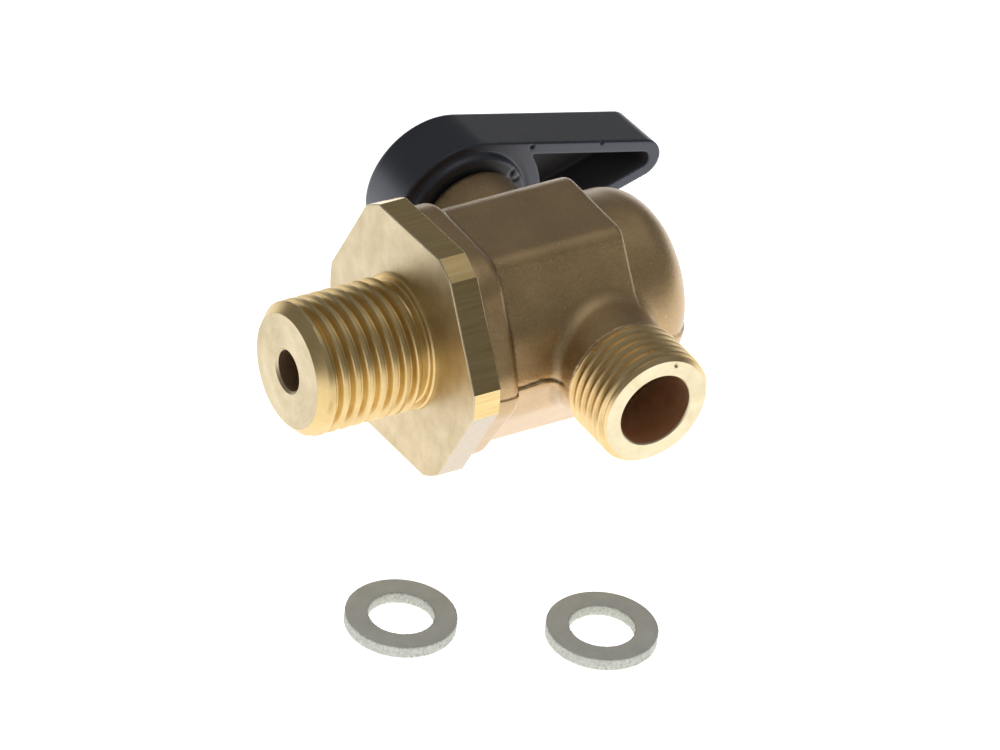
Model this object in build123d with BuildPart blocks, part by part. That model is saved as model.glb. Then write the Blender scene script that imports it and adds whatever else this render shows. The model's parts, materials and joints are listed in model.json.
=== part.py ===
"""Lever-operated angle drain cock with a male inlet and a male outlet, and its two loose fibre washers.

Frame: the origin is where the inlet axis crosses the hexagon's seating face. +X runs along the inlet
axis into the body, the outlet leaves along -Y, the stem and its lever stand on the +Y side, and +Z is
normal to the plane in which the body was forged. The lever points along +X with the cock open.
"""
import os
from math import acos, cos, degrees, radians

from build123d import *

# Common axis of the outlet, the ball's pivot and the stem, behind the seating face
cross_x = 16.4

# Inlet nipple: external thread, raised ring at its root, bore
inlet_thread_d = 13.157
inlet_length = 12.4
inlet_chamfer = 0.6
inlet_relief_d = 11.3
inlet_relief_width = 1.2
inlet_ring_d = 14.8
inlet_ring_height = 0.7
inlet_bore_d = 4.0
inlet_countersink_d = 4.8

# Hexagon, turned down at its corners, and its angle about the inlet axis from the block's faces
hex_across_flats = 24.0
hex_turn = -3.6
hex_thickness = 3.0
hex_corner_allowance = 2.3
hex_edge_break = 0.25

# Spigot of the nipple that screws into the body, and its sealing ring
spigot_thread_d = 16.0
spigot_undercut_d = 14.4
thread_clearance = 0.03
seal_section = 1.4
seal_width = 1.5

# Corner of a squeezed sealing ring's section, as a share of its thickness
squeezed_corner = 0.3

# Ball with an angled waterway, and its two seats
ball_d = 12.7
ball_inlet_port_d = 5.0
ball_outlet_port_d = 6.4
seat_step = 1.4
seat_od = ball_d - seat_step
seat_id = 5.2
seat_wall = 0.85
seat_back_distance = ball_d / 2 + seat_wall
seat_lip = 2.45
seat_rim_distance = ball_d / 2 - seat_lip
seat_clearance = 0.02
seat_proud = 0.6
spigot_end_distance = seat_rim_distance + seat_proud

# Body forging: collar behind the hexagon, six-sided block, round rear end
collar_across_flats = 22.2
collar_corner_r = 5.0
collar_length = 2.9
collar_edge = 0.5
block_across_top = 21.2
block_across_sides = 19.3
block_corner_r = 1.3
block_side_corner_r = 1.0
block_end = 19.9
block_edge = 0.4
rear_d = 18.6
rear_end = 27.5
rear_round = 3.9
ball_play = 0.35
cavity_d = ball_d + 2 * ball_play
cavity_gap = 0.1
side_face_angle = 30

# Outlet: flared neck and external thread
outlet_thread_d = 12.0
outlet_mouth = 19.2
outlet_thread_length = 6.3
outlet_neck_d = 11.4
outlet_bore_d = 7.5
outlet_chamfer = 0.5
neck_root = 7.6
neck_root_reach = 8.4
neck_root_height = 6.5
neck_flare_end = 12.2

# Stem boss on the side away from the outlet
boss_d = 10.8
boss_top = 14.7
boss_root = 8.2
boss_root_reach = 6.8
boss_root_height = 5.9
boss_flare_end = 11.6
boss_edge_break = 0.35

# How far a flare has narrowed half way along, as a share of its spread at the root
flare_hollow = 0.3

# Stem: tang, shoulder, packing grooves, flatted end
stem_d = 5.0
stem_clearance = 0.06
shoulder_d = 6.9
shoulder_thickness = 1.3
shoulder_gap = 0.25
shoulder_pocket_clearance = 0.1
thrust_washer_thickness = 0.6
tang_width = 2.0
tang_length = 5.4
tang_depth = 1.7
tang_clearance = 0.08
groove_floor_d = 3.4
groove_width = 1.15
groove_pitch = 2.3
groove_first = 1.3
o_ring_squeeze_gap = 0.03
ring_side_gap = 0.02
flat_across = 3.8
flat_fit = 0.04

# Lever handle, moulded, hollow on its underside; the lever stands a little off the inlet axis
handle_gap = 0.3
handle_skirt = 0.8
handle_thickness = 6.35
handle_draft = 3
handle_hub_d = 15.4
handle_core_d = 13.2
lever_reach = 20.1
lever_turn = 2.2
lever_tip_r = 2.15
handle_edge_r = 0.35
pocket_wall = 1.3
pocket_hub_r = 8.6
pocket_floor = 1.45
handle_web = 2.3

# Quarter-turn stop: a lug under the handle runs in a notch of the boss
stop_turn = 90
lug_angle = 36
lug_play = 1.5
lug_reach = 1.2
lug_end_gap = 0.2
notch_inner_d = 6.6
lug_radial_gap = 0.1

# Handle screw and its washer
screw_d = 3.0
screw_head_d = 5.5
screw_head_height = 1.7
screw_length = 6.0
screw_head_edge = 0.5
screw_socket_af = 2.0
screw_socket_depth = 1.0
screw_hole_clearance = 0.02
screw_recess_d = 6.6
screw_washer_d = 6.2
screw_washer_thickness = 0.5
screw_washer_hole_d = 3.2
screw_hole_extra = 0.8
stem_end_gap = 0.1

# Two fibre washers, lying on the surface that the hexagon rests on
fibre_od = 10.5
fibre_id = 6.2
fibre_thickness = 1.25
left_washer_x = -13.2
left_washer_y = -24.35
right_washer_x = 3.0
right_washer_y = -33.55

# Places that follow from the sizes above
body_front = hex_thickness
hex_turned_d = hex_across_flats + hex_corner_allowance
ball_r = ball_d / 2
cross_axis = Axis((cross_x, 0, 0), (0, 1, 0))
spigot_end = cross_x - spigot_end_distance
seat_back = cross_x - seat_back_distance
rear_seat_back = cross_x + seat_back_distance
shoulder_base = ball_r + shoulder_gap
shoulder_top = shoulder_base + shoulder_thickness
pocket_top = shoulder_top + thrust_washer_thickness
stem_r = stem_d / 2
stem_hole_d = stem_d + 2 * stem_clearance
groove_low = pocket_top + groove_first
groove_high = groove_low + groove_pitch
handle_base = boss_top + handle_gap
handle_rim = handle_base + handle_skirt
handle_top = handle_rim + handle_thickness
screw_seat = handle_rim + handle_web + flat_across / 2
stem_end = screw_seat - stem_end_gap
flat_half_angle = degrees(acos(hex_across_flats / hex_turned_d))
table_z = -hex_turned_d / 2 * cos(radians(flat_half_angle - abs(hex_turn)))


def across(y):
    """Plane normal to the stem axis, y from the inlet axis; its own x is +X and its own y is -Z."""
    return Plane(origin=(cross_x, y, 0), x_dir=(1, 0, 0), z_dir=(0, 1, 0))


def sector(inner_r, outer_r, middle, span):
    """Part of a flat ring about the plane's origin, span degrees wide about the angle middle."""
    with BuildSketch() as ring_sector:
        with BuildLine():
            inner = CenterArc((0, 0), inner_r, middle - span / 2, span)
            outer = CenterArc((0, 0), outer_r, middle - span / 2, span)
            Line(inner @ 0, outer @ 0)
            Line(inner @ 1, outer @ 1)
        make_face()
    return ring_sector.sketch


# Inlet nipple
inlet_r = inlet_thread_d / 2
spigot_r = spigot_thread_d / 2
with BuildPart() as inlet_nipple:
    with BuildSketch(Plane.XY) as turned_profile:
        with BuildLine():
            Polyline(
                (-inlet_length, 0),
                (-inlet_length, inlet_r - inlet_chamfer),
                (-inlet_length + inlet_chamfer, inlet_r),
                (-inlet_ring_height - inlet_relief_width, inlet_r),
                (-inlet_ring_height - inlet_relief_width, inlet_relief_d / 2),
                (-inlet_ring_height, inlet_relief_d / 2),
                (-inlet_ring_height, inlet_ring_d / 2),
                (0, inlet_ring_d / 2),
                (0, hex_turned_d / 2),
                (hex_thickness, hex_turned_d / 2),
                (hex_thickness, spigot_undercut_d / 2),
                (hex_thickness + seal_width, spigot_undercut_d / 2),
                (hex_thickness + seal_width, spigot_r),
                (spigot_end, spigot_r),
                (spigot_end, 0),
                close=True,
            )
        make_face()
    revolve(axis=Axis.X)
    with BuildSketch(Plane.YZ.offset(-inlet_length)):
        RegularPolygon(hex_across_flats / 2, side_count=6, major_radius=False, rotation=hex_turn)
    extrude(amount=inlet_length + spigot_end, mode=Mode.INTERSECT)
    hex_corners = inlet_nipple.edges().filter_by(Plane.YZ).filter_by(GeomType.LINE)
    chamfer(hex_corners, length=hex_edge_break)
    with BuildSketch(Plane.YZ.offset(-inlet_length)):
        Circle(inlet_bore_d / 2)
    extrude(amount=inlet_length + spigot_end, mode=Mode.SUBTRACT)
    with BuildSketch(Plane.YZ.offset(seat_back)):
        Circle(seat_od / 2 + seat_clearance)
    extrude(amount=spigot_end - seat_back, mode=Mode.SUBTRACT)
    mouth = inlet_nipple.edges().filter_by(GeomType.CIRCLE).group_by(Axis.X)[0].sort_by(SortBy.RADIUS)[0]
    chamfer(mouth, length=(inlet_countersink_d - inlet_bore_d) / 2)
inlet_nipple.part.label = "inlet_nipple"

# Sealing ring between the hexagon and the body
seal_inner_r = spigot_undercut_d / 2
with BuildPart() as nipple_o_ring:
    with BuildSketch(Plane.XY) as seal_profile:
        with Locations((hex_thickness + seal_width / 2, seal_inner_r + seal_section / 2)):
            Rectangle(seal_width - 2 * ring_side_gap, seal_section)
        chamfer(seal_profile.vertices(), seal_section * squeezed_corner)
    revolve(axis=Axis.X)
nipple_o_ring.part.label = "nipple_o_ring"


# Seats: rings about the inlet axis, hollowed to fit the ball, alike in front of and behind it
with BuildPart() as front_seat:
    with BuildSketch(Plane.YZ.offset(seat_back)):
        Circle(seat_od / 2)
        Circle(seat_id / 2, mode=Mode.SUBTRACT)
    extrude(amount=seat_back_distance - seat_rim_distance)
    with Locations((cross_x, 0, 0)):
        Sphere(ball_r + seat_clearance, mode=Mode.SUBTRACT)
front_seat.part.label = "front_seat"

with BuildPart() as rear_seat:
    mirror(front_seat.part, about=Plane.YZ.offset(cross_x))
rear_seat.part.label = "rear_seat"

# Ball: waterway from the front round to the outlet side, slot for the stem's tang
slot_floor = shoulder_base - tang_depth - tang_clearance
with BuildPart() as ball:
    with Locations((cross_x, 0, 0)):
        Sphere(ball_r)
    with BuildSketch(Plane.YZ.offset(cross_x)):
        Circle(ball_inlet_port_d / 2)
    extrude(amount=-ball_d, mode=Mode.SUBTRACT)
    with BuildSketch(across(ball_inlet_port_d / 2)):
        Circle(ball_outlet_port_d / 2)
    extrude(amount=-ball_d, mode=Mode.SUBTRACT)
    with BuildSketch(across(slot_floor)):
        Rectangle(2 * ball_d, tang_width + 2 * tang_clearance)
    extrude(amount=ball_d, mode=Mode.SUBTRACT)
ball.part.label = "ball"

# Valve body
block_r = block_across_sides / 2
block_half_height = block_across_top / 2
side_corner_y = block_r / cos(radians(side_face_angle))
top_corner_y = (block_r - block_half_height / 2) / cos(radians(side_face_angle))
neck_r = outlet_neck_d / 2
thread_start = outlet_mouth - outlet_thread_length
boss_r = boss_d / 2


def flare(root, end, root_reach, root_height, end_r):
    """Root of a stub on the cross axis, spreading from end_r as it nears the block."""
    middle_reach = end_r + (root_reach - end_r) * flare_hollow
    middle_height = end_r + (root_height - end_r) * flare_hollow
    with BuildPart() as root_part:
        with BuildSketch(across(root)):
            Ellipse(root_reach, root_height)
        with BuildSketch(across((root + end) / 2)):
            Ellipse(middle_reach, middle_height)
        with BuildSketch(across(end)):
            Circle(end_r)
        loft()
    return root_part.part


neck_flare = flare(-neck_root, -neck_flare_end, neck_root_reach, neck_root_height, neck_r)
boss_flare = flare(boss_root, boss_flare_end, boss_root_reach, boss_root_height, boss_r)

with BuildPart() as valve_body:
    with BuildSketch(Plane.YZ.offset(body_front)) as collar_section:
        RegularPolygon(radius=collar_across_flats / 2, side_count=6, major_radius=False)
        fillet(collar_section.vertices(), collar_corner_r)
    extrude(amount=collar_length)
    chamfer(valve_body.faces().sort_by(Axis.X)[-1].edges(), collar_edge)
    with BuildSketch(Plane.YZ.offset(body_front)) as block_section:
        with BuildLine():
            Polyline(
                (side_corner_y, 0),
                (top_corner_y, block_half_height),
                (-top_corner_y, block_half_height),
                (-side_corner_y, 0),
                (-top_corner_y, -block_half_height),
                (top_corner_y, -block_half_height),
                close=True,
            )
        make_face()
        corners_by_height = block_section.vertices().group_by(Axis.Y)
        fillet(corners_by_height[1], block_side_corner_r)
        fillet(block_section.vertices().group_by(Axis.Y)[0], block_corner_r)
        fillet(block_section.vertices().group_by(Axis.Y)[-1], block_corner_r)
    extrude(amount=block_end - body_front)
    chamfer(valve_body.faces().sort_by(Axis.X)[-1].edges(), block_edge)
    with BuildSketch(Plane.XY):
        with BuildLine():
            Polyline((cross_x, 0), (cross_x, rear_d / 2), (rear_end - rear_round, rear_d / 2))
            CenterArc((rear_end - rear_round, rear_d / 2 - rear_round), rear_round, 0, 90)
            Polyline((rear_end, rear_d / 2 - rear_round), (rear_end, 0), (cross_x, 0))
        make_face()
    revolve(axis=Axis.X)
    add(neck_flare)
    with BuildSketch(Plane.XY):
        with BuildLine():
            Polyline(
                (cross_x, 0),
                (cross_x + neck_r, 0),
                (cross_x + neck_r, -thread_start),
                (cross_x + outlet_thread_d / 2, -thread_start),
                (cross_x + outlet_thread_d / 2, -outlet_mouth + outlet_chamfer),
                (cross_x + outlet_thread_d / 2 - outlet_chamfer, -outlet_mouth),
                (cross_x, -outlet_mouth),
                (cross_x, 0),
            )
        make_face()
    revolve(axis=cross_axis)
    add(boss_flare)
    with BuildSketch(Plane.XY):
        with BuildLine():
            Polyline(
                (cross_x, 0),
                (cross_x + boss_r, 0),
                (cross_x + boss_r, boss_top - boss_edge_break),
                (cross_x + boss_r - boss_edge_break, boss_top),
                (cross_x, boss_top),
                (cross_x, 0),
            )
        make_face()
    revolve(axis=cross_axis)
    with BuildSketch(Plane.XY):
        with BuildLine():
            Polyline(
                (body_front, 0),
                (body_front, seal_inner_r + seal_section),
                (body_front + seal_width, seal_inner_r + seal_section),
                (body_front + seal_width, spigot_r + thread_clearance),
                (spigot_end + cavity_gap, spigot_r + thread_clearance),
                (spigot_end + cavity_gap, cavity_d / 2),
                (cross_x + spigot_end_distance, cavity_d / 2),
                (cross_x + spigot_end_distance, seat_od / 2 + seat_clearance),
                (rear_seat_back, seat_od / 2 + seat_clearance),
                (rear_seat_back, 0),
                close=True,
            )
        make_face()
    revolve(axis=Axis.X, mode=Mode.SUBTRACT)
    with BuildSketch(across(0)):
        Circle(outlet_bore_d / 2)
    extrude(amount=-outlet_mouth, mode=Mode.SUBTRACT)
    with BuildSketch(across(0)):
        Circle(shoulder_d / 2 + shoulder_pocket_clearance)
    extrude(amount=pocket_top, mode=Mode.SUBTRACT)
    with BuildSketch(across(0)):
        Circle(stem_hole_d / 2)
    extrude(amount=boss_top, mode=Mode.SUBTRACT)
    with BuildSketch(across(boss_top - lug_reach - lug_end_gap)):
        add(sector(notch_inner_d / 2, boss_d, stop_turn / 2, stop_turn + lug_angle + 2 * lug_play))
    extrude(amount=boss_top, mode=Mode.SUBTRACT)
valve_body.part.label = "valve_body"

# Thrust washer under the stem's shoulder
with BuildPart() as stem_thrust_washer:
    with BuildSketch(across(shoulder_top)):
        Circle(shoulder_d / 2)
        Circle(stem_hole_d / 2, mode=Mode.SUBTRACT)
    extrude(amount=thrust_washer_thickness)
stem_thrust_washer.part.label = "stem_thrust_washer"

# Stem: turned profile, tang cut from its inner end, flats at its outer end
floor_r = groove_floor_d / 2
with BuildPart() as stem:
    with BuildSketch(Plane.XY):
        with BuildLine():
            Polyline(
                (cross_x, shoulder_base - tang_depth),
                (cross_x + tang_length / 2, shoulder_base - tang_depth),
                (cross_x + tang_length / 2, shoulder_base),
                (cross_x + shoulder_d / 2, shoulder_base),
                (cross_x + shoulder_d / 2, shoulder_top),
                (cross_x + stem_r, shoulder_top),
                (cross_x + stem_r, groove_low),
                (cross_x + floor_r, groove_low),
                (cross_x + floor_r, groove_low + groove_width),
                (cross_x + stem_r, groove_low + groove_width),
                (cross_x + stem_r, groove_high),
                (cross_x + floor_r, groove_high),
                (cross_x + floor_r, groove_high + groove_width),
                (cross_x + stem_r, groove_high + groove_width),
                (cross_x + stem_r, stem_end),
                (cross_x, stem_end),
                close=True,
            )
        make_face()
    revolve(axis=cross_axis)
    with BuildSketch(across(shoulder_base - tang_depth)):
        Rectangle(shoulder_d, shoulder_d)
        Rectangle(shoulder_d, tang_width, mode=Mode.SUBTRACT)
    extrude(amount=tang_depth, mode=Mode.SUBTRACT)
    with BuildSketch(across(handle_base)):
        Rectangle(shoulder_d, shoulder_d)
        Rectangle(shoulder_d, flat_across, mode=Mode.SUBTRACT)
    extrude(amount=stem_end - handle_base, mode=Mode.SUBTRACT)
    with BuildSketch(across(stem_end)):
        Circle(screw_d / 2 + screw_hole_clearance)
    extrude(amount=-screw_length, mode=Mode.SUBTRACT)
stem.part.label = "stem"


# Packing rings of the stem
def packing_ring(start):
    """Ring squeezed between the groove's floor and the stem hole, from its groove's inner side."""
    outer = stem_hole_d / 2 - o_ring_squeeze_gap
    with BuildPart() as ring:
        with BuildSketch(Plane.XY) as ring_profile:
            with Locations((cross_x + (floor_r + outer) / 2, start + groove_width / 2)):
                Rectangle(outer - floor_r, groove_width - 2 * ring_side_gap)
            chamfer(ring_profile.vertices(), (outer - floor_r) * squeezed_corner)
        revolve(axis=cross_axis)
    return ring.part


stem_o_ring_lower = packing_ring(groove_low)
stem_o_ring_lower.label = "stem_o_ring_lower"
stem_o_ring_upper = packing_ring(groove_high)
stem_o_ring_upper.label = "stem_o_ring_upper"

# Handle: tapering lever with a hub, hollow on its inner side
hub_r = handle_hub_d / 2
with BuildPart() as handle:
    with BuildSketch(across(handle_rim)):
        Circle(hub_r)
        with PolarLocations(lever_reach, 1, -lever_turn):
            Circle(lever_tip_r)
        make_hull()
    extrude(amount=handle_thickness, taper=handle_draft)
    fillet(handle.faces().sort_by(Axis.Y)[-1].edges(), handle_edge_r)
    with BuildSketch(across(handle_rim)) as lever_pocket:
        Circle(hub_r - pocket_wall)
        with PolarLocations(lever_reach, 1, -lever_turn):
            Circle(lever_tip_r - pocket_wall)
        make_hull()
        Circle(pocket_hub_r, mode=Mode.SUBTRACT)
    extrude(amount=handle_thickness - pocket_floor, mode=Mode.SUBTRACT)
    with BuildSketch(across(handle_rim)):
        Circle(handle_core_d / 2)
    extrude(amount=-handle_skirt)
    with BuildSketch(across(handle_base)):
        add(sector(notch_inner_d / 2 + lug_radial_gap, boss_r + lug_radial_gap, stop_turn, lug_angle))
    extrude(amount=-handle_gap - lug_reach)
    with BuildSketch(across(handle_base)):
        Circle(stem_r + flat_fit)
        Rectangle(stem_d * 2, flat_across + 2 * flat_fit, mode=Mode.INTERSECT)
    extrude(amount=screw_seat - handle_base, mode=Mode.SUBTRACT)
    with BuildSketch(across(screw_seat)):
        Circle(screw_recess_d / 2)
    extrude(amount=handle_thickness, mode=Mode.SUBTRACT)
handle.part.label = "handle"

# Handle screw and washer
with BuildPart() as screw_washer:
    with BuildSketch(across(screw_seat)):
        Circle(screw_washer_d / 2)
        Circle(screw_washer_hole_d / 2, mode=Mode.SUBTRACT)
    extrude(amount=screw_washer_thickness)
screw_washer.part.label = "screw_washer"

head_base = screw_seat + screw_washer_thickness
with BuildPart() as handle_screw:
    with BuildSketch(across(head_base)):
        Circle(screw_head_d / 2)
    extrude(amount=screw_head_height)
    chamfer(handle_screw.faces().sort_by(Axis.Y)[-1].edges(), screw_head_edge)
    with BuildSketch(across(head_base)):
        Circle(screw_d / 2)
    extrude(amount=-(screw_length - screw_hole_extra))
    with BuildSketch(across(head_base + screw_head_height)):
        RegularPolygon(radius=screw_socket_af / 2, side_count=6, major_radius=False)
    extrude(amount=-screw_socket_depth, mode=Mode.SUBTRACT)
handle_screw.part.label = "handle_screw"


# Fibre washers
def fibre_washer(x, y):
    """Flat sealing washer that lies with its axis upright at x, y."""
    with BuildPart() as washer:
        with BuildSketch(Plane.XY.offset(table_z)):
            with Locations((x, y)):
                Circle(fibre_od / 2)
                Circle(fibre_id / 2, mode=Mode.SUBTRACT)
        extrude(amount=fibre_thickness)
    return washer.part


fibre_washer_left = fibre_washer(left_washer_x, left_washer_y)
fibre_washer_left.label = "fibre_washer_left"
fibre_washer_right = fibre_washer(right_washer_x, right_washer_y)
fibre_washer_right.label = "fibre_washer_right"

# Write every piece
pieces = [
    valve_body.part,
    inlet_nipple.part,
    nipple_o_ring.part,
    front_seat.part,
    rear_seat.part,
    ball.part,
    stem.part,
    stem_thrust_washer.part,
    stem_o_ring_lower,
    stem_o_ring_upper,
    handle.part,
    screw_washer.part,
    handle_screw.part,
    fibre_washer_left,
    fibre_washer_right,
]
os.makedirs("parts", exist_ok=True)
for piece in pieces:
    export_step(piece, f"parts/{piece.label}.step")
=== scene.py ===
"""Visual model of an angle drain cock and its two loose fibre washers.

Lengths are millimetres and become metres where a mesh or a node is made.
+X runs into the body along the inlet, -Y out of the outlet, +Y towards the lever, and +Z up.
The floor is at table_z.
"""

import json
from math import cos, pi, radians, sin, tau

import bmesh
import bpy
import numpy as np
from mathutils import Euler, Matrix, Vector


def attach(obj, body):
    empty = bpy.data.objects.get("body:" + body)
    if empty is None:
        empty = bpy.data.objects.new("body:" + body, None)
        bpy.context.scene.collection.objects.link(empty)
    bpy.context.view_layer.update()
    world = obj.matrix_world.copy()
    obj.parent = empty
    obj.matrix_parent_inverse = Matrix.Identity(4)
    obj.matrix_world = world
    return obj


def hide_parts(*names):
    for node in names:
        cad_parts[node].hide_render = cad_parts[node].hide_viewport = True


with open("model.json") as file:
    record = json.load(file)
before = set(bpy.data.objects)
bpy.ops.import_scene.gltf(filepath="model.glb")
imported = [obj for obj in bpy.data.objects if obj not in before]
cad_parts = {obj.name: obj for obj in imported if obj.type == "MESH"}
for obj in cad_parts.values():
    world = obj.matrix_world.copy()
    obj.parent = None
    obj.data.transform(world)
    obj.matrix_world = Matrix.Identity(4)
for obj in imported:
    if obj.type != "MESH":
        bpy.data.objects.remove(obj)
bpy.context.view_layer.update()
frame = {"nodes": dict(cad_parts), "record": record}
rng = np.random.default_rng(7)

MM = 0.001
COS_30 = 0.8660254
TAN_30 = 0.57735027

# Camera: place, angles and focal length on a 36 mm frame
camera_place = (-389.77, -569.48, 487.89)
camera_angles = (54.398, -5.632, -31.169)
camera_lens = 324

# Places shared by several pieces
cross_x = 16.4
table_z = -12.314

# Inlet nipple
inlet_tip = -12.4
inlet_relief_start = -1.05
inlet_relief_gap = 0.1
inlet_major_r = 6.55
inlet_minor_r = 5.88
inlet_pitch = 1.337
inlet_tip_r = 5.6
inlet_runout_r = 5.9
inlet_plain = 0.5
inlet_countersink = 0.25
inlet_face_edge = 0.3
inlet_ring_start = -0.4
inlet_ring_r = 6.65
inlet_ring_edge = 0.15
inlet_groove_edge = 0.14
inlet_ring_end = 0.1
inlet_bore_r = 2.0
inlet_bore_end = 9.2
hex_inner_r = 12.0
hex_turned_r = 13.15
hex_thickness = 3.0
hex_edge = 0.13
hex_bend = 0.35 * hex_edge
hex_overlap = 0.05
hex_face_radii = (9.2, 10.8)
hex_back_r = 8.1
hex_flat_points = 13
hex_corner_points = 6
hex_turn = radians(-3.6)

# Forging
collar_inner_r = 11.1
collar_corner_r = 5.0
collar_end = 5.9
collar_bead = 0.75
block_top = 10.6
block_side = 9.65
block_corner_r = 1.3
block_corner_loss = 0.5
block_edge = 0.5
block_swell = 0.75
block_swell_z = 4.5
block_end = 20.2
rear_r = 9.3
rear_end = 27.5
rear_round = 3.9
neck_r = 5.7
boss_r = 5.4
boss_top = 14.7
outlet_bore_r = 3.75
neck_fillet = 0.9
neck_overlap = 0.2
boss_fillet = 1.4
boss_edge = 0.3
rear_fillet = 0.3
collar_fillet = 0.2
wave_height = 0.012
notch_floor = 13.3
notch_inner_r = 3.3
notch_middle = radians(45)
notch_half_span = radians(64.5)
shoulder_r = 3.55
shoulder_end = 8.5
stem_hole_r = 2.56

# Bored steps inside the forging: radius and end
cavity_steps = ((8.03, 12.0), (6.7, 20.9), (5.67, 23.6))

# Parting line: its level at the front, then (start, length, rise) of each step along X
seam_level = -0.1
seam_steps = ((5.6, 3, 0.2), (9, 2.2, -0.35), (22.5, 4, -0.6))

# Its waves: (pace, shift, height)
seam_waves = ((2.3, 0, 0.04), (5.1, 1, 0.03))

# How far the lower half stands proud, and where that ends towards the outlet's thread
seam_height = 0.2
seam_edge = 0.12
seam_end = 12.7
seam_end_length = 1.2
seam_groove_depth = 0.06
seam_groove_width = 0.08
seam_ridge_height = 0.1
seam_ridge_width = 0.16

# Grids for the forging and the handle: lowest corner, highest corner, step
forging_grid = ((2.6, -13.6, -12.1), (28.4, 15.5, 12.1), 0.25)
lever_grid = ((8.3, 13.2, -8.1), (39.1, 22.6, 8.1), 0.18)
parting_density = 0.6

# Rows of points per turn of a thread, and points per row
rows_per_pitch = 14
points_per_row = 300

# Thread's profile: steepness of the flanks, depth of the groove's flat floor, share of rounding
thread_steepness = 1.75
thread_floor = 0.2
thread_rounding = 0.35

# Angles between faces, in degrees, above which an edge shows
thread_sharp = 35
hexagon_sharp = 18

# Distance below which points are joined
weld_distance = 0.004

# Outlet thread
outlet_mouth = 19.2
outlet_thread_start = 12.9
outlet_major_r = 5.98
outlet_minor_r = 5.58
outlet_pitch = 1.0
outlet_thread_turn = 3.4
outlet_root_r = 5.4
outlet_tip_r = 5.42
outlet_plain = -1
outlet_cover = 1.2
outlet_sink = 0.04
outlet_mouth_edge = 0.02
outlet_bore_edge = 0.12
outlet_bore_rows = (6, 12)
outlet_face_rows = 9
outlet_face_spacing = 0.1

# Lever handle
hub_r = 7.7
core_r = 6.6
tip_r = 2.15
lever_reach = 20.1
lever_turn = radians(2.2)
handle_base = 15.0
handle_rim = 15.8
handle_top = 22.15
handle_draft = 0.0524
handle_edge = 0.45
rim_edge = 0.14
core_edge = 0.4
core_depth = 1
core_fillet = 0.6
pocket_wall = 1.3
pocket_hub_r = 8.6
pocket_roof = 20.7
pocket_corner = 0.35
pocket_roof_edge = 0.3
lug_inner_r = 3.4
lug_outer_r = 5.5
lug_end = 13.5
lug_half_angle = radians(18)
flat_half = 1.94
flat_hole_r = 2.54
screw_seat = 20.0
screw_recess_r = 3.3
screw_recess_edge = 0.2

# Groove in the rim beside the core
dent_depth = 0.5
dent_gap = 0.3
dent_drop = 0.1
dent_width = 0.2

# Round mark on the core
mark_u = 4.9
mark_z = 3.6
mark_r = 0.6
mark_width = 0.12
mark_depth = 0.16
mark_edge = 0.03

# Nicks in the lever's rim, from the stem's axis
nicks = ((7.0, 5.75), (15.15, 4.03))
nick_r = 0.24
nick_edge = 0.05

# How far inside the hollow's outline, below its roof and above the rim the lighter plastic with painted
# light starts
hollow_margin = 0.15
hollow_roof_margin = 0.3
hollow_rim_margin = 0.25

# Nicks in the outlet's thread: place along it, angle about it, size and depth
outlet_nicks = ((13.6, 1.85, 0.13, 0.14), (13.6, 2.3, 0.13, 0.12), (17.5, 1.6, 0.13, 0.1))

# Nick in the outlet's end face: distance from the axis, angle about it, size and depth
face_nick = (4.95, 1.22, 0.17, 0.3)

# Fibre washers
fibre_r = 5.25
fibre_hole_r = 3.1
fibre_thickness = 1.25
fibre_edge = 0.08
fibre_roughness = 0.03
fibre_side_rows = 6
fibre_top_radii = (3.6, 4.3)
fibre_base_radius = 4.2
fibre_points = 180
washer_places = {"left": (-13.2, -24.35), "right": (3.0, -33.55)}


# Meshes
def make_piece(name, points, faces, body, materials, which=None):
    """Mesh object that moves with a body. which gives each face's place in materials."""
    mesh = bpy.data.meshes.new(name)
    mesh.from_pydata((np.asarray(points, float) * MM).tolist(), [], [tuple(f) for f in faces])
    for material in materials:
        mesh.materials.append(material)
    if which is not None:
        mesh.polygons.foreach_set("material_index", which)
    mesh.polygons.foreach_set("use_smooth", [True] * len(mesh.polygons))
    mesh.update()
    piece = bpy.data.objects.new(name, mesh)
    bpy.context.scene.collection.objects.link(piece)
    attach(piece, body)
    return piece


def round_angles(count):
    """Angles of a full turn, the last one over the first, where weld joins them."""
    return np.linspace(0, tau, count + 1)


def ring_faces(rows, columns):
    """Quads between rows of points."""
    row, column = np.meshgrid(np.arange(rows - 1), np.arange(columns - 1), indexing="ij")
    first = row * columns + column
    quads = [first, first + 1, first + columns + 1, first + columns]
    return np.stack(quads, -1).reshape(-1, 4)


def about_x(along, radius, angle):
    """Points on rings about the inlet axis."""
    return np.stack([along, radius * np.cos(angle), radius * np.sin(angle)], -1)


def about_y(along, radius, angle):
    """Points on rings about the outlet's axis, along measured from the inlet axis towards the outlet."""
    return np.stack([cross_x + radius * np.cos(angle), -along, radius * np.sin(angle)], -1)


def turned_rows(profile, angles):
    """Rings of constant radius for a list of (along, radius)."""
    along = np.array([[p[0]] * len(angles) for p in profile], float)
    radius = np.array([[p[1]] * len(angles) for p in profile], float)
    return along, radius


def stacked_rows(sections, angles):
    """One run of rings from several, with its faces and each face's row."""
    along = np.concatenate([section[0] for section in sections])
    radius = np.concatenate([section[1] for section in sections])
    faces = ring_faces(len(along), len(angles))
    return along, radius, faces, np.arange(len(faces)) // (len(angles) - 1)


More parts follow.
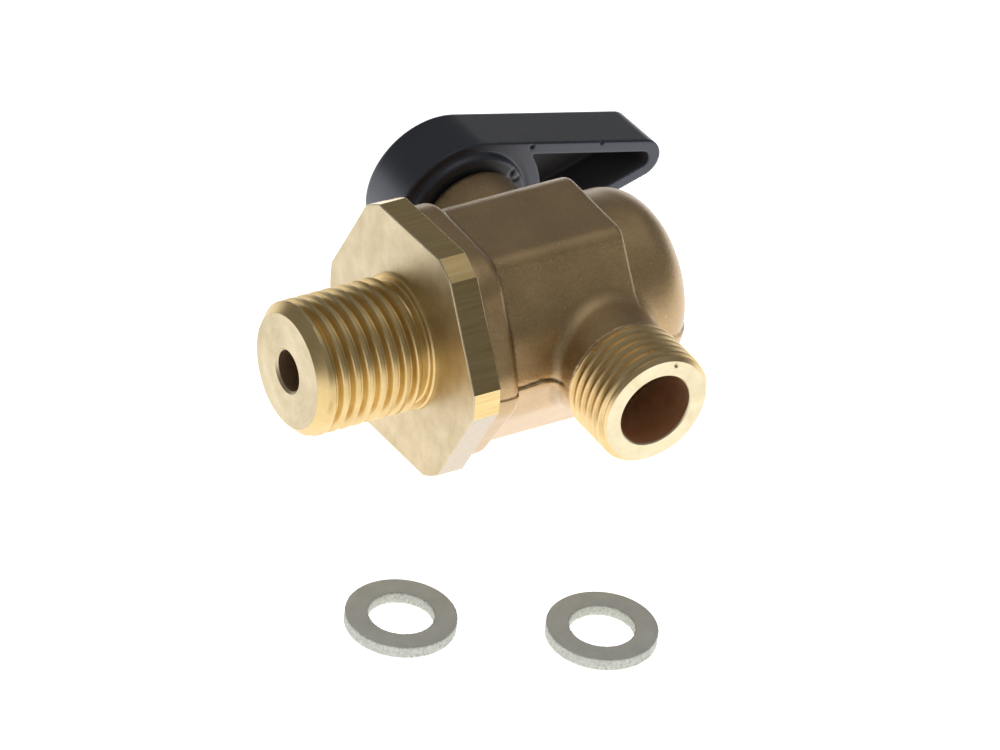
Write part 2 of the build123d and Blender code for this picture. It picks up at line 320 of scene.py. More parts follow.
def thread_rows(start, end, pitch, major, minor, start_r, end_r, plain, angles):
    """Rows along a right-hand helix, its groove deepening from start + plain, a cone at each end."""
    count = int(np.ceil((end - start) / pitch + 1)) * rows_per_pitch
    steps = start - pitch + np.arange(count + 1) * pitch / rows_per_pitch
    turned = pitch * angles[None, :] / tau
    along = np.clip(steps[:, None] + turned, start, end)
    phase = ((along - turned - start) / pitch) % 1.0
    height = np.clip(thread_steepness * (1 - np.abs(2 * phase - 1)) - thread_floor, 0, 1)
    height = smooth_step(height) * thread_rounding + height * (1 - thread_rounding)
    deep = np.clip((along - start - plain) / pitch, 0, 1)
    radius = major - (major - minor) * (1 - height) * deep
    radius = np.minimum(radius, start_r + (along - start))
    radius = np.minimum(radius, end_r + (end - along))
    return along, radius


def weld(piece, sharp=None):
    """Joins points that lie together. Edges above sharp, in degrees, show as edges."""
    work = bmesh.new()
    work.from_mesh(piece.data)
    bmesh.ops.remove_doubles(work, verts=work.verts, dist=weld_distance * MM)
    bmesh.ops.dissolve_degenerate(work, edges=work.edges, dist=weld_distance * MM * 0.5)
    bmesh.ops.recalc_face_normals(work, faces=work.faces)
    work.to_mesh(piece.data)
    work.free()
    if sharp:
        piece.data.set_sharp_from_angle(angle=radians(sharp))


def closer_at_parting(w):
    """Grid place to Z, with the grid's planes closer together near Z = 0, where the parting line is."""
    return w * (1 - parting_density * np.exp(-(w**2)))


def surface_net(field, low, high, step, spread=np.array):
    """Quads on the surface where field, a distance in mm, is zero. spread turns grid places into Z."""
    counts = [int(np.ceil((b - a) / step)) + 1 for a, b in zip(low, high)]
    axes = [a + step * np.arange(n) for a, n in zip(low, counts)]
    across, along, up = np.meshgrid(*axes, indexing="ij")
    values = field(across, along, spread(up)).astype(np.float32)
    inside = values < 0
    index = np.arange(inside.size).reshape(inside.shape)
    total = np.zeros((inside.size, 3))
    count = np.zeros(inside.size)
    quads = []
    for axis in range(3):
        u, v = (axis + 1) % 3, (axis + 2) % 3
        here = [slice(1, -1)] * 3
        here[axis] = slice(None, -1)
        there = [slice(1, -1)] * 3
        there[axis] = slice(1, None)
        start = np.argwhere(inside[tuple(here)] != inside[tuple(there)])
        start += np.array([0 if k == axis else 1 for k in range(3)])
        after = start.copy()
        after[:, axis] += 1
        first = values[tuple(start.T)]
        second = values[tuple(after.T)]
        point = start.astype(float)
        point[:, axis] += first / (first - second)
        ring = []
        for du, dv in ((1, 1), (0, 1), (0, 0), (1, 0)):
            cell = start.copy()
            cell[:, u] -= du
            cell[:, v] -= dv
            place = index[tuple(cell.T)]
            ring.append(place)
            for k in range(3):
                total[:, k] += np.bincount(place, point[:, k], inside.size)
            count += np.bincount(place, minlength=inside.size)
        ring = np.stack(ring, 1)
        flip = first >= 0
        ring[flip] = ring[flip][:, ::-1]
        quads.append(ring)
    quads = np.concatenate(quads)
    used, faces = np.unique(quads, return_inverse=True)
    points = np.array(low) + step * total[used] / count[used][:, None]
    points[:, 2] = spread(points[:, 2])
    probe = 0.02
    farthest = 0.2 * step
    for _ in range(3):
        here = field(*points.T)
        slope = [(field(*(points + e).T) - field(*(points - e).T)) / (2 * probe) for e in probe * np.eye(3)]
        slope = np.stack(slope, 1)
        move = here[:, None] * slope / np.maximum((slope**2).sum(1), 0.25)[:, None]
        points -= np.clip(move, -farthest, farthest)
    return points, faces.reshape(-1, 4)


# Fields
def join(a, b, r):
    """Union of two fields with a fillet of radius r."""
    return np.maximum(r, np.minimum(a, b)) - np.hypot(np.maximum(r - a, 0), np.maximum(r - b, 0))


def meet(a, b, r):
    """Intersection of two fields with the edge rounded to radius r."""
    return np.minimum(-r, np.maximum(a, b)) + np.hypot(np.maximum(r + a, 0), np.maximum(r + b, 0))


def cut(a, b, r):
    """Field a with field b taken out of it, the edge rounded to radius r."""
    return meet(a, -b, r)


def hexagon(u, v, inner, corner):
    """Regular hexagon with two flats normal to v and rounded corners."""
    u, v = np.abs(u), np.abs(v)
    side = inner - corner
    fold = 2 * np.minimum(-COS_30 * u + 0.5 * v, 0)
    u, v = u + COS_30 * fold, v - 0.5 * fold
    reach = TAN_30 * side
    u = u - np.clip(u, -reach, reach)
    return np.hypot(u, v - side) * np.sign(v - side) - corner


def outlet_share(y):
    """1 on the outlet's side of the inlet axis, 0 on the lever's side, smooth between."""
    return smooth_step(0.5 - y / 4)


def block_section(y, z):
    """Six-sided section of the forging's block, its slanted faces fuller on the outlet's side."""
    side = np.abs(y) * COS_30 + np.sqrt((z * 0.5) ** 2 + 0.04) - block_side - 0.05
    rise = np.abs(z) / block_swell_z
    fall = (block_top - np.abs(z)) / (block_top - block_swell_z)
    swell = np.clip((rise + fall - np.sqrt((rise - fall) ** 2 + 0.06)) / 2, 0, 1)
    side = side - block_swell * swell * outlet_share(y)
    return meet(side, np.abs(z) - block_top, block_corner_r - block_corner_loss * outlet_share(y))


def wedge(u, v, middle, half_span):
    """Infinite wedge about the origin, half_span on each side of the direction middle."""
    along = u * cos(middle) + v * sin(middle)
    over = np.abs(v * cos(middle) - u * sin(middle))
    return over * cos(half_span) - along * sin(half_span)


def smooth_step(value):
    """0 below 0, 1 above 1, smooth between."""
    value = np.clip(value, 0, 1)
    return value * value * (3 - 2 * value)


def seam(x, y, z):
    """How far the lower half of the forging stands proud, with the fine groove along the parting line."""
    level = seam_level
    for start, length, rise in seam_steps:
        level = level + rise * smooth_step((x - start) / length)
    for pace, shift, height in seam_waves:
        level = level + height * np.sin(x * pace + shift)
    below = smooth_step((level - z) / seam_edge)
    proud = seam_height * below * smooth_step((y + seam_end) / seam_end_length)
    groove = seam_groove_depth * np.exp(-(((z - level - seam_groove_width) / seam_groove_width) ** 2))
    ridge = seam_ridge_height * np.exp(-(((z - level) / seam_ridge_width) ** 2))
    outlet_side = outlet_share(y)
    return (proud - groove) * outlet_side + ridge * (1 - outlet_side)


def waviness(x, y, z):
    """Slight unevenness of the forged faces."""
    return wave_height * np.sin(0.9 * x + 1.3 * y) * np.sin(1.1 * z + 0.7 * x + 0.4)


def forging(x, y, z):
    """The body: collar, block, round rear end, outlet neck, stem boss and the hollows inside."""
    out = np.hypot(y, z)
    stub = np.hypot(x - cross_x, z)
    collar_middle = (hex_thickness + collar_end) / 2
    collar = meet(
        hexagon(y, z, collar_inner_r, collar_corner_r),
        np.abs(x - collar_middle) - (collar_end - hex_thickness) / 2,
        collar_bead,
    )
    block = meet(block_section(y, z), x - block_end, block_edge)
    rear = meet(out - rear_r, x - rear_end, rear_round)
    body = join(block, np.maximum(rear, cross_x - x), rear_fillet)
    body = join(body, collar, collar_fillet)
    neck = np.maximum(stub - neck_r, y)
    boss = np.maximum(stub - boss_r, -y)
    body = join(body, neck, neck_fillet)
    body = join(body, boss, boss_fillet)
    body = body - seam(x, y, z)
    body = body - waviness(x, y, z)
    body = np.maximum(body, -y - outlet_thread_start - neck_overlap)
    body = meet(body, y - boss_top, boss_edge)
    notch = np.maximum(notch_floor - y, notch_inner_r - stub)
    notch = np.maximum(notch, wedge(x - cross_x, -z, notch_middle, notch_half_span))
    body = np.maximum(body, -notch)
    for radius, end in cavity_steps:
        body = np.maximum(body, -np.maximum(out - radius, x - end))
    body = np.maximum(body, -np.maximum(np.maximum(stub - shoulder_r, -y), y - shoulder_end))
    body = np.maximum(body, -np.maximum(stub - stem_hole_r, -y))
    body = np.maximum(body, -np.maximum(stub - outlet_bore_r, y))
    return np.maximum(body, hex_thickness - x)


def teardrop(u, v, hub, tip, reach):
    """Outline round two circles, the larger at the origin, the smaller at u = reach."""
    b = (hub - tip) / reach
    a = np.sqrt(1 - b * b)
    v = np.abs(v)
    k = a * u - b * v
    side = a * v + b * u - hub
    return np.where(k < 0, np.hypot(u, v) - hub, np.where(k > a * reach, np.hypot(u - reach, v) - tip, side))


def lever_outline(x, z):
    """Distance outside the lever's outline at its rim."""
    u = x - cross_x
    along = u * cos(lever_turn) + z * sin(lever_turn)
    over = z * cos(lever_turn) - u * sin(lever_turn)
    return teardrop(along, over, hub_r, tip_r, lever_reach)


def lever(x, y, z):
    """The handle: solid hub, core and lug, hollow lever."""
    u = x - cross_x
    r = np.hypot(u, z)
    outline = lever_outline(x, z)
    body = meet(outline + handle_draft * np.maximum(y - handle_rim, 0), y - handle_top, handle_edge)
    body = meet(body, handle_rim - y, rim_edge)
    core = meet(r - core_r, handle_base - y, core_edge)
    core = np.maximum(core, y - handle_rim - core_depth)
    body = join(body, core, core_fillet)
    dent = dent_depth * smooth_step(1.3 * np.cos(0.9 * np.arctan2(z, u)) - 0.2)
    apart = (r - core_r - dent_gap) ** 2 + (y - handle_rim + dent_drop) ** 2
    body = body + dent * np.exp(-apart / dent_width**2)
    mark = np.abs(np.hypot(u - mark_u, z - mark_z) - mark_r) - mark_width
    body = cut(body, np.maximum(mark, np.abs(y - handle_base) - mark_depth), mark_edge)
    pocket = meet(outline + pocket_wall, pocket_hub_r - r, pocket_corner)
    body = cut(body, meet(pocket, y - pocket_roof, pocket_roof_edge), rim_edge)
    for nick_u, nick_z in nicks:
        nick = np.sqrt((u - nick_u) ** 2 + (z - nick_z) ** 2 + (y - handle_rim) ** 2) - nick_r
        body = cut(body, nick, nick_edge)
    ring = np.maximum(np.maximum(lug_inner_r - r, r - lug_outer_r), np.maximum(lug_end - y, y - handle_rim))
    body = np.minimum(body, np.maximum(ring, wedge(u, -z, pi / 2, lug_half_angle)))
    body = np.maximum(body, -np.maximum(r - flat_hole_r, np.abs(z) - flat_half))
    return cut(body, np.maximum(r - screw_recess_r, screw_seat - y), screw_recess_edge)


# Materials
def add(tree, kind, inputs=None, **settings):
    """New shader node with its settings and its inputs, which are values or other nodes' outputs."""
    node = tree.nodes.new("ShaderNode" + kind)
    for name, value in settings.items():
        setattr(node, name, value)
    for name, value in (inputs or {}).items():
        if isinstance(value, bpy.types.NodeSocket):
            tree.links.new(value, node.inputs[name])
        else:
            node.inputs[name].default_value = value
    return node


def ramp(tree, value, stops):
    """Colour or grey ramp between (place, colour) stops."""
    node = add(tree, "ValToRGB", {"Fac": value})
    elements = node.color_ramp.elements
    while len(elements) < len(stops):
        elements.new(0.5)
    for element, (place, colour) in zip(elements, stops):
        element.position = place
        element.color = (*colour, 1) if hasattr(colour, "__len__") else (colour, colour, colour, 1)
    return node.outputs["Color"]


def noise(tree, vector, scale, detail=3.0, roughness=0.55):
    """Noise between 0 and 1, scale in cycles per metre."""
    inputs = {"Vector": vector, "Scale": scale, "Detail": detail, "Roughness": roughness}
    return add(tree, "TexNoise", inputs).outputs["Fac"]


def new_material(name, **constants):
    """Material and its Principled shader with constant inputs set on the shader itself."""
    material = bpy.data.materials.new(name)
    material.use_nodes = True
    tree = material.node_tree
    shader = next(n for n in tree.nodes if n.type == "BSDF_PRINCIPLED")
    for key, value in constants.items():
        shader.inputs[key.replace("_", " ")].default_value = value
    place = add(tree, "TexCoord").outputs["Object"]
    return material, tree, shader, place


def blend(tree, share, first, second, kind="MIX"):
    """Colour second over colour first, share between 0 and 1."""
    inputs = {"Fac": share, "Color1": first, "Color2": second}
    return add(tree, "MixRGB", inputs, blend_type=kind).outputs["Color"]


def bump(tree, height, strength, depth, below=None):
    """Bump node over an earlier normal, depth in millimetres."""
    inputs = {"Height": height, "Strength": strength, "Distance": depth * MM}
    if below is not None:
        inputs["Normal"] = below
    return add(tree, "Bump", inputs).outputs["Normal"]


def axis_place(tree, place, axis, centre):
    """(distance from an axis, position along it) for the object's own coordinates."""
    moved = add(tree, "VectorMath", {0: place, 1: centre}, operation="SUBTRACT").outputs["Vector"]
    keep = [0 if k == axis else 1 for k in range(3)]
    flat = add(tree, "VectorMath", {0: moved, 1: keep}, operation="MULTIPLY").outputs["Vector"]
    radius = add(tree, "VectorMath", {0: flat}, operation="LENGTH").outputs["Value"]
    parts = add(tree, "SeparateXYZ", {"Vector": moved})
    return radius, parts.outputs[axis]


def turned_brass(name, axis, centre, roughness, tone):
    """Brass fresh from the lathe: fine rings about an axis, soft patches of tone."""
    material, tree, shader, place = new_material(name, Metallic=1.0, Anisotropic=0.45)
    radius, along = axis_place(tree, place, axis, centre)
    lines = add(tree, "CombineXYZ", {0: radius, 1: along, 2: 0.0}).outputs["Vector"]
    fine = noise(tree, lines, 9000, 3)
    patches = noise(tree, place, 420, 5, 0.65)
    colour = ramp(tree, patches, [(0.35, tone[0]), (0.65, tone[1])])
    tree.links.new(colour, shader.inputs["Base Color"])
    rough = ramp(tree, fine, [(0.3, roughness[0]), (0.7, roughness[1])])
    tree.links.new(rough, shader.inputs["Roughness"])
    normal = bump(tree, fine, 0.5, 0.01)
    tree.links.new(normal, shader.inputs["Normal"])
    tangent = add(tree, "Tangent", direction_type="RADIAL", axis="XYZ"[axis]).outputs["Tangent"]
    tree.links.new(tangent, shader.inputs["Tangent"])
    return material


def drawn_brass(name):
    """Bright brass of the hexagon bar, with faint streaks along its length."""
    material, tree, shader, place = new_material(name, Metallic=1.0)
    stretched = add(tree, "VectorMath", {0: place, 1: (0.06, 1, 1)}, operation="MULTIPLY").outputs["Vector"]
    streaks = noise(tree, stretched, 2600, 4)
    colour = ramp(tree, streaks, [(0.3, (0.66, 0.48, 0.21)), (0.7, (0.77, 0.595, 0.30))])
    tree.links.new(colour, shader.inputs["Base Color"])
    rough = ramp(tree, streaks, [(0.3, 0.1), (0.7, 0.2)])
    tree.links.new(rough, shader.inputs["Roughness"])
    tree.links.new(bump(tree, streaks, 0.25, 0.004), shader.inputs["Normal"])
    return material


def forged_brass():
    """Blasted forging: dull brown brass, grainy, with pale spots, its edges paler (partly wear, partly a
    painted highlight) and painted shade in its corners.
    """
    constants = {"Metallic": 1.0, "Coat_Weight": 1.0, "Coat_Roughness": 0.35}
    material, tree, shader, place = new_material("forged_brass", **constants)
    grain = noise(tree, place, 5200, 3, 0.6)
    dents = noise(tree, place, 1500, 2, 0.5)
    patches = noise(tree, place, 190, 3, 0.55)
    colour = ramp(tree, patches, [(0.3, (0.47, 0.315, 0.145)), (0.72, (0.59, 0.40, 0.19))])
    spots = ramp(tree, noise(tree, place, 2900, 2), [(0.70, 0.0), (0.76, 1.0)])
    mixed = blend(tree, spots, colour, (0.80, 0.64, 0.42, 1))
    bend = add(tree, "NewGeometry").outputs["Pointiness"]
    # Convex edges painted paler: partly wear, partly a painted highlight along the edges.
    edge_wear_and_highlight = ramp(tree, bend, [(0.53, 0.0), (0.56, 0.7)])
    broken = ramp(tree, noise(tree, place, 1900, 3), [(0.42, 0.15), (0.58, 1.0)])
    edge_wear_and_highlight = add(tree, "Math", {0: edge_wear_and_highlight, 1: broken}, operation="MULTIPLY").outputs["Value"]
    mixed = blend(tree, edge_wear_and_highlight, mixed, (0.78, 0.63, 0.44, 1))
    # Painted shade: concave corners and fillets darkened through pointiness.
    shade = ramp(tree, bend, [(0.46, 0.45), (0.494, 1.0)])
    mixed = blend(tree, 1.0, mixed, shade, "MULTIPLY")
    speckle = ramp(tree, grain, [(0.3, 0.84), (0.7, 1.12)])
    mixed = blend(tree, 1.0, mixed, speckle, "MULTIPLY")
    tree.links.new(mixed, shader.inputs["Base Color"])
    rough = ramp(tree, grain, [(0.3, 0.38), (0.7, 0.52)])
    tree.links.new(rough, shader.inputs["Roughness"])
    normal = bump(tree, dents, 0.35, 0.05)
    normal = bump(tree, grain, 0.7, 0.04, normal)
    tree.links.new(normal, shader.inputs["Normal"])
    return material


def handle_plastic(name, dark, light, gloss):
    """Charcoal moulded plastic with a fine matt texture."""
    cool_tint = (0.84, 0.88, 1.0, 1.0)
    material, tree, shader, place = new_material(name, Specular_IOR_Level=gloss, Specular_Tint=cool_tint)
    grain = noise(tree, place, 7000, 2)
    patches = noise(tree, place, 240, 3)
    tree.links.new(ramp(tree, patches, [(0.3, dark), (0.7, light)]), shader.inputs["Base Color"])
    rough = ramp(tree, grain, [(0.3, 0.3), (0.7, 0.42)])
    tree.links.new(rough, shader.inputs["Roughness"])
    tree.links.new(bump(tree, grain, 0.25, 0.02), shader.inputs["Normal"])
    return material


def fibre(name, light, dark):
    """Compressed fibre sheet, mottled."""
    material, tree, shader, place = new_material(name)
    flecks = noise(tree, place, 3800, 4, 0.7)
    patches = noise(tree, place, 420, 3)
    colour = ramp(tree, flecks, [(0.3, dark), (0.7, light)])
    shade = ramp(tree, patches, [(0.3, 0.88), (0.7, 1.0)])
    mixed = blend(tree, 1.0, colour, shade, "MULTIPLY")
    tree.links.new(mixed, shader.inputs["Base Color"])
    rough = ramp(tree, flecks, [(0.3, 0.6), (0.7, 0.8)])
    tree.links.new(rough, shader.inputs["Roughness"])
    tree.links.new(bump(tree, flecks, 0.4, 0.03), shader.inputs["Normal"])
    return material


def plain_finish(name, dark, light, metallic, rough_low, rough_high, scale):
    """Finish for the small inner pieces: fine variation of tone and gloss."""
    material, tree, shader, place = new_material(name, Metallic=metallic)
    grain = noise(tree, place, scale, 3)
    tree.links.new(ramp(tree, grain, [(0.3, dark), (0.7, light)]), shader.inputs["Base Color"])
    tree.links.new(ramp(tree, grain, [(0.3, rough_low), (0.7, rough_high)]), shader.inputs["Roughness"])
    tree.links.new(bump(tree, grain, 0.2, 0.01), shader.inputs["Normal"])
    return material


inlet_centre = (0, 0, 0)
outlet_centre = (cross_x * MM, 0, 0)
pale_tones = ((0.55, 0.455, 0.285), (0.66, 0.56, 0.38))
gold_tones = ((0.67, 0.49, 0.22), (0.75, 0.57, 0.285))
bright_tones = ((0.68, 0.59, 0.38), (0.78, 0.69, 0.48))
brown_tones = ((0.74, 0.53, 0.25), (0.82, 0.62, 0.33))
deep_tones = ((0.90, 0.62, 0.42), (0.95, 0.72, 0.52))
dim_tones = ((0.50, 0.38, 0.27), (0.58, 0.44, 0.32))
turned_inlet = turned_brass("turned_inlet", 0, inlet_centre, (0.28, 0.4), gold_tones)
turned_outlet = turned_brass("turned_outlet", 1, outlet_centre, (0.26, 0.38), brown_tones)
faced_inlet = turned_brass("faced_inlet", 0, inlet_centre, (0.35, 0.48), pale_tones)
faced_outlet = turned_brass("faced_outlet", 1, outlet_centre, (0.3, 0.42), bright_tones)
bored_inlet = turned_brass("bored_inlet", 0, inlet_centre, (0.45, 0.6), dim_tones)
bored_outlet = turned_brass("bored_outlet", 1, outlet_centre, (0.45, 0.6), deep_tones)
bar_brass = drawn_brass("bar_brass")
# Pale, greyish brass with painted glare, for the hexagon's lower flat that faces the bright floor.
brass_painted_glare = plain_finish("brass_painted_glare", (0.56, 0.49, 0.40), (0.68, 0.61, 0.52), 1.0, 0.4, 0.6, 2600)
forged = forged_brass()
plastic = handle_plastic("handle_plastic", (0.018, 0.020, 0.027), (0.026, 0.028, 0.037), 0.85)
# Lighter copy of the handle plastic for the inside of the pocket: painted light in the hollow.
pocket_plastic_painted_light = handle_plastic("handle_pocket_painted_light", (0.08, 0.08, 0.09), (0.10, 0.10, 0.11), 0.5)
# The flat faces get a lighter copy of the fibre than the sides: painted light on the tops.
fibre_top_painted_light = fibre("fibre_top_painted_light", (1.0, 0.99, 0.88), (0.93, 0.92, 0.81))
fibre_side = fibre("fibre_side", (0.95, 0.95, 0.87), (0.50, 0.51, 0.43))
chrome = plain_finish("ball_chrome", (0.50, 0.50, 0.52), (0.56, 0.56, 0.58), 1.0, 0.06, 0.12, 900)
stem_brass = plain_finish("stem_brass", (0.72, 0.53, 0.25), (0.82, 0.64, 0.34), 1.0, 0.2, 0.32, 4000)
steel = plain_finish("fastener_steel", (0.50, 0.50, 0.50), (0.62, 0.62, 0.61), 1.0, 0.25, 0.38, 5000)
rubber = plain_finish("seal_rubber", (0.014, 0.014, 0.014), (0.022, 0.022, 0.022), 0.0, 0.4, 0.55, 3000)
ptfe = plain_finish("ptfe", (0.78, 0.78, 0.76), (0.86, 0.86, 0.84), 0.0, 0.35, 0.5, 2500)

finishes = {
    "ball_chrome": chrome,
    "stem_brass": stem_brass,
    "fastener_steel": steel,
    "seal_rubber": rubber,
    "ptfe": ptfe,
    "forged_brass": forged,
    "machined_brass": turned_inlet,
    "handle_plastic": plastic,
    "fibre": fibre_top_painted_light,
}
for part in frame["record"]["subparts"]:
    node = frame["nodes"][part["node"]]
    for slot in node.material_slots:
        slot.material = finishes[part["material_slot"]]

# Body
points, faces = surface_net(forging, *forging_grid, closer_at_parting)
body = make_piece("forged_body", points, faces, "valve", [forged])
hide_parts("valve_body")

# Outlet: root of the neck, thread, end ring, bore
angles = round_angles(points_per_row)
thread = thread_rows(
    outlet_thread_start,
    outlet_mouth,
    outlet_pitch,
    outlet_major_r,
    outlet_minor_r,
    outlet_root_r,
    outlet_tip_r,
    outlet_plain,
    angles - outlet_thread_turn,
)
for place, angle, size, depth in outlet_nicks:
    apart = np.hypot(thread[0] - place, outlet_major_r * (angles[None, :] - angle))
    thread[1][...] -= depth * np.exp(-((apart / size) ** 2))
head_profile = [
    (outlet_thread_start - outlet_cover, neck_r - outlet_sink),
    (outlet_thread_start, outlet_root_r),
]
head = turned_rows(head_profile, angles)
rim = outlet_tip_r - outlet_mouth_edge
tail_profile = [(outlet_mouth, rim - outlet_face_spacing * k) for k in range(outlet_face_rows)]
tail_profile += [
    (outlet_mouth, outlet_bore_r + outlet_bore_edge),
    (outlet_mouth - outlet_bore_edge, outlet_bore_r),
]
tail_profile += [(outlet_mouth - depth, outlet_bore_r) for depth in outlet_bore_rows]
tail = turned_rows(tail_profile, angles)
reach, turn, size, depth = face_nick
apart = np.hypot(tail[1] - reach, reach * (angles[None, :] - turn))
tail[0][...] -= depth * np.exp(-((apart / size) ** 2))
along, radius, faces, rows = stacked_rows([head, thread, tail], angles)
face_start = len(along) - len(tail_profile) - 1
bore_start = len(along) - len(outlet_bore_rows) - 1
outlet = make_piece(
    "outlet_thread",
    about_y(along, radius, angles[None, :]).reshape(-1, 3),
    faces,
    "valve",
    [turned_outlet, bored_outlet, faced_outlet],
    which=np.where(rows >= bore_start, 1, np.where(rows >= face_start, 2, 0)),
)
weld(outlet, thread_sharp)

# Inlet: bore, end face, thread, ring
thread = thread_rows(
    inlet_tip,
    inlet_relief_start,
    inlet_pitch,
    inlet_major_r,
    inlet_minor_r,
    inlet_tip_r,
    inlet_runout_r,
    inlet_plain,
    angles,
)
head_profile = [
    (inlet_bore_end, inlet_bore_r),
    (0, inlet_bore_r),
    (inlet_tip + inlet_countersink, inlet_bore_r),
    (inlet_tip, inlet_bore_r + inlet_countersink),
    (inlet_tip, inlet_tip_r - inlet_face_edge),
]
head = turned_rows(head_profile, angles)
tail_profile = [
    (inlet_relief_start + inlet_relief_gap, inlet_minor_r),
    (inlet_ring_start - inlet_ring_edge, inlet_minor_r),
    (inlet_ring_start, inlet_minor_r + inlet_groove_edge),
    (inlet_ring_start, inlet_ring_r - inlet_ring_edge),
    (inlet_ring_start + inlet_ring_edge, inlet_ring_r),
    (inlet_ring_end, inlet_ring_r),
]
tail = turned_rows(tail_profile, angles)
along, radius, faces, rows = stacked_rows([head, thread, tail], angles)
inlet = make_piece(
    "inlet_thread",
    about_x(along, radius, angles[None, :]).reshape(-1, 3),
    faces,
    "valve",
    [turned_inlet, bored_inlet, faced_inlet],
    which=np.where(rows < 2, 1, np.where(rows < len(head_profile), 2, 0)),
)
weld(inlet, thread_sharp)
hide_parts("inlet_nipple")

# Hexagon with its corners turned off
half_flat = np.arccos(hex_inner_r / hex_turned_r)
flat_angles = np.linspace(-half_flat, half_flat, hex_flat_points)
corner_angles = np.linspace(half_flat, pi / 3 - half_flat, hex_corner_points)[1:-1]
sector_angles = np.concatenate([flat_angles, corner_angles])
angles = np.concatenate([k * pi / 3 + sector_angles for k in range(6)] + [[tau - half_flat]])
outline = np.minimum(hex_inner_r / np.cos((angles + pi / 6) % (pi / 3) - pi / 6), hex_turned_r)
angles = angles + pi / 6 + hex_turn
middle = (angles[1:] + angles[:-1]) / 2
# The lower flat gets the brass with painted glare.
turned_down = np.abs(middle - 7 * pi / 6 - hex_turn) < half_flat
front = turned_rows([(0, inlet_ring_r - hex_overlap)] + [(0, r) for r in hex_face_radii], angles)
rim_places = [0, hex_bend, hex_edge, hex_thickness - hex_edge, hex_thickness - hex_bend, hex_thickness]
rim_insets = [hex_edge, hex_bend, 0, 0, hex_bend, hex_edge]
rim = (np.repeat(np.array(rim_places)[:, None], len(angles), 1), outline - np.array(rim_insets)[:, None])
back = turned_rows([(hex_thickness, hex_back_r)], angles)
along, radius, faces, rows = stacked_rows([front, rim, back], angles)
flat_row = len(front[0]) + 2
hexagon_piece = make_piece(
    "hexagon_flange",
    about_x(along, radius, angles[None, :]).reshape(-1, 3),
    faces,
    "valve",
    [faced_inlet, bar_brass, brass_painted_glare],
    which=np.where(rows == flat_row, np.where(np.tile(turned_down, len(along) - 1), 2, 1), 0),
)
weld(hexagon_piece, hexagon_sharp)

# Handle
points, faces = surface_net(lever, *lever_grid)
middle = points[faces].mean(1)
# Faces inside the pocket take the lighter plastic with painted light.
hollow = lever_outline(middle[:, 0], middle[:, 2]) < hollow_margin - pocket_wall
hollow &= np.hypot(middle[:, 0] - cross_x, middle[:, 2]) > pocket_hub_r - hollow_margin
hollow &= middle[:, 1] > handle_rim + hollow_rim_margin
hollow &= middle[:, 1] < pocket_roof + hollow_roof_margin
handle = make_piece(
    "lever_handle",
    points,
    faces,
    "lever",
    [plastic, pocket_plastic_painted_light],
    which=hollow.astype(int),
)
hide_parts("handle")

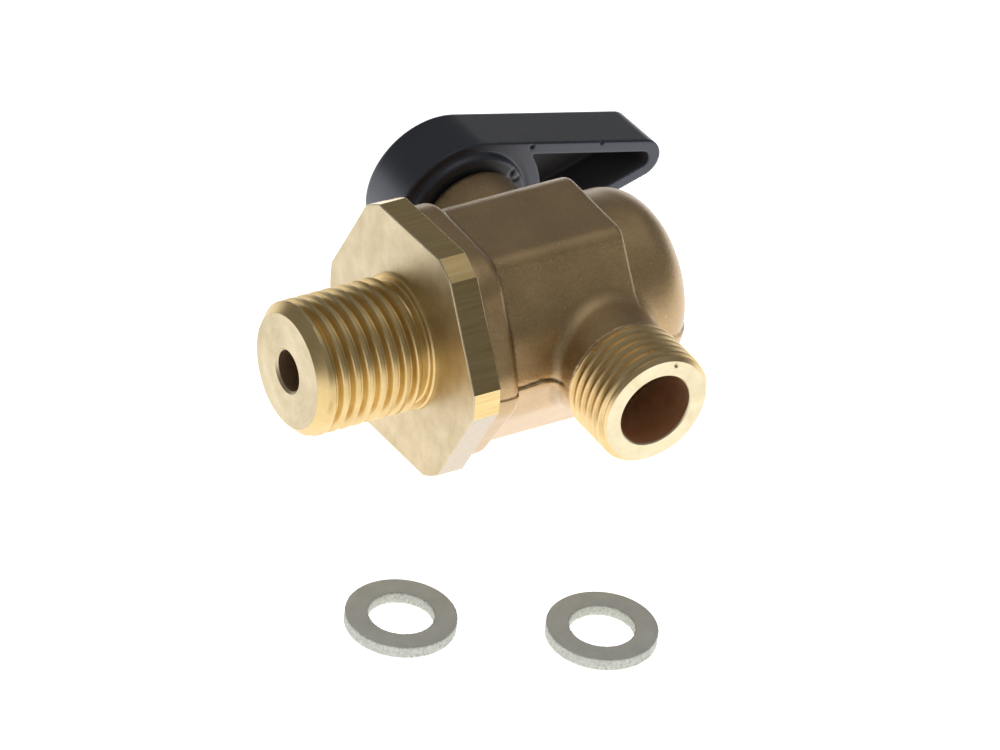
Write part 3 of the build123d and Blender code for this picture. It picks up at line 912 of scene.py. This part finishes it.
# Washers
low, high = table_z, table_z + fibre_thickness
angles = round_angles(fibre_points)
steps = (fibre_thickness - 2 * fibre_edge) * np.arange(1, fibre_side_rows + 1) / fibre_side_rows
profile = [(low, fibre_hole_r + fibre_edge), (low + fibre_edge, fibre_hole_r)]
profile += [(low + fibre_edge + step, fibre_hole_r) for step in steps]
profile += [(high, fibre_hole_r + fibre_edge)] + [(high, r) for r in fibre_top_radii]
profile += [(high, fibre_r - fibre_edge), (high - fibre_edge, fibre_r)]
profile += [(high - fibre_edge - step, fibre_r) for step in steps]
profile += [(low, fibre_r - fibre_edge), (low, fibre_base_radius), (low, fibre_hole_r + fibre_edge)]
sides = [k for k, p in enumerate(profile) if low < p[0] < high]
flat_rows = [k for k in range(len(profile) - 1) if profile[k][0] == profile[k + 1][0] and k not in sides]
for side, (x, y) in washer_places.items():
    along, radius = turned_rows(profile, angles)
    rough = rng.normal(0, fibre_roughness, along.shape)
    rough[:, -1] = rough[:, 0]
    radius[sides] -= np.abs(rough[sides])
    along, radius, faces, rows = stacked_rows([(along, radius)], angles)
    points = np.stack([x + radius * np.cos(angles), y + radius * np.sin(angles), along], -1).reshape(-1, 3)
    # Flat faces take the lighter fibre with painted light, the sides the darker one.
    flat = np.isin(rows, flat_rows)
    washer = make_piece(
        "washer_" + side,
        points,
        faces,
        "valve",
        [fibre_top_painted_light, fibre_side],
        which=(~flat).astype(int),
    )
    weld(washer)
    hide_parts("fibre_washer_" + side)

# Stage
floor_size = 6
bpy.ops.mesh.primitive_plane_add(size=floor_size, location=(0, 0, table_z * MM))
floor = bpy.context.object
floor.name = "floor"
material, _, shader, _ = new_material("floor_white", Roughness=0.6)
shader.inputs["Base Color"].default_value = (0.55, 0.55, 0.55, 1)
shader.inputs["Emission Color"].default_value = (1, 1, 1, 1)
shader.inputs["Emission Strength"].default_value = 1.25
floor.data.materials.append(material)


def softbox(name, place, target, size, power):
    """Large soft lamp at place, aimed at target, lengths in metres."""
    lamp = bpy.data.lights.new(name, "AREA")
    lamp.shape = "RECTANGLE"
    lamp.size, lamp.size_y = size
    lamp.energy = power
    holder = bpy.data.objects.new(name, lamp)
    bpy.context.scene.collection.objects.link(holder)
    holder.location = place
    holder.rotation_euler = (Vector(target) - Vector(place)).to_track_quat("-Z", "Y").to_euler()


softbox("overhead", (0.5, -0.05, 1.0), (0, 0, 0), (0.42, 0.42), 0.12)

world = bpy.data.worlds.new("studio")
bpy.context.scene.world = world
world.use_nodes = True
tree = world.node_tree
direction = add(tree, "TexCoord").outputs["Generated"]
height = add(tree, "SeparateXYZ", {"Vector": direction}).outputs["Z"]
low_sky = [(0.0, 0.85), (0.05, 0.27), (0.18, 0.11), (0.46, 0.17)]
high_sky = [(0.6, 0.25), (0.86, 0.18), (1.0, 0.8)]
sky = ramp(tree, height, low_sky + high_sky)
background = next(n for n in tree.nodes if n.type == "BACKGROUND")
tree.links.new(sky, background.inputs["Color"])
background.inputs["Strength"].default_value = 1.0

camera_data = bpy.data.cameras.new("camera")
camera_data.lens = camera_lens
camera_data.sensor_width = 36
camera_data.clip_end = 10
camera = bpy.data.objects.new("camera", camera_data)
bpy.context.scene.collection.objects.link(camera)
camera.location = Vector(camera_place) * MM
camera.rotation_euler = Euler([radians(a) for a in camera_angles], "XYZ")
bpy.context.scene.camera = camera
bpy.context.scene.view_settings.view_transform = "Standard"
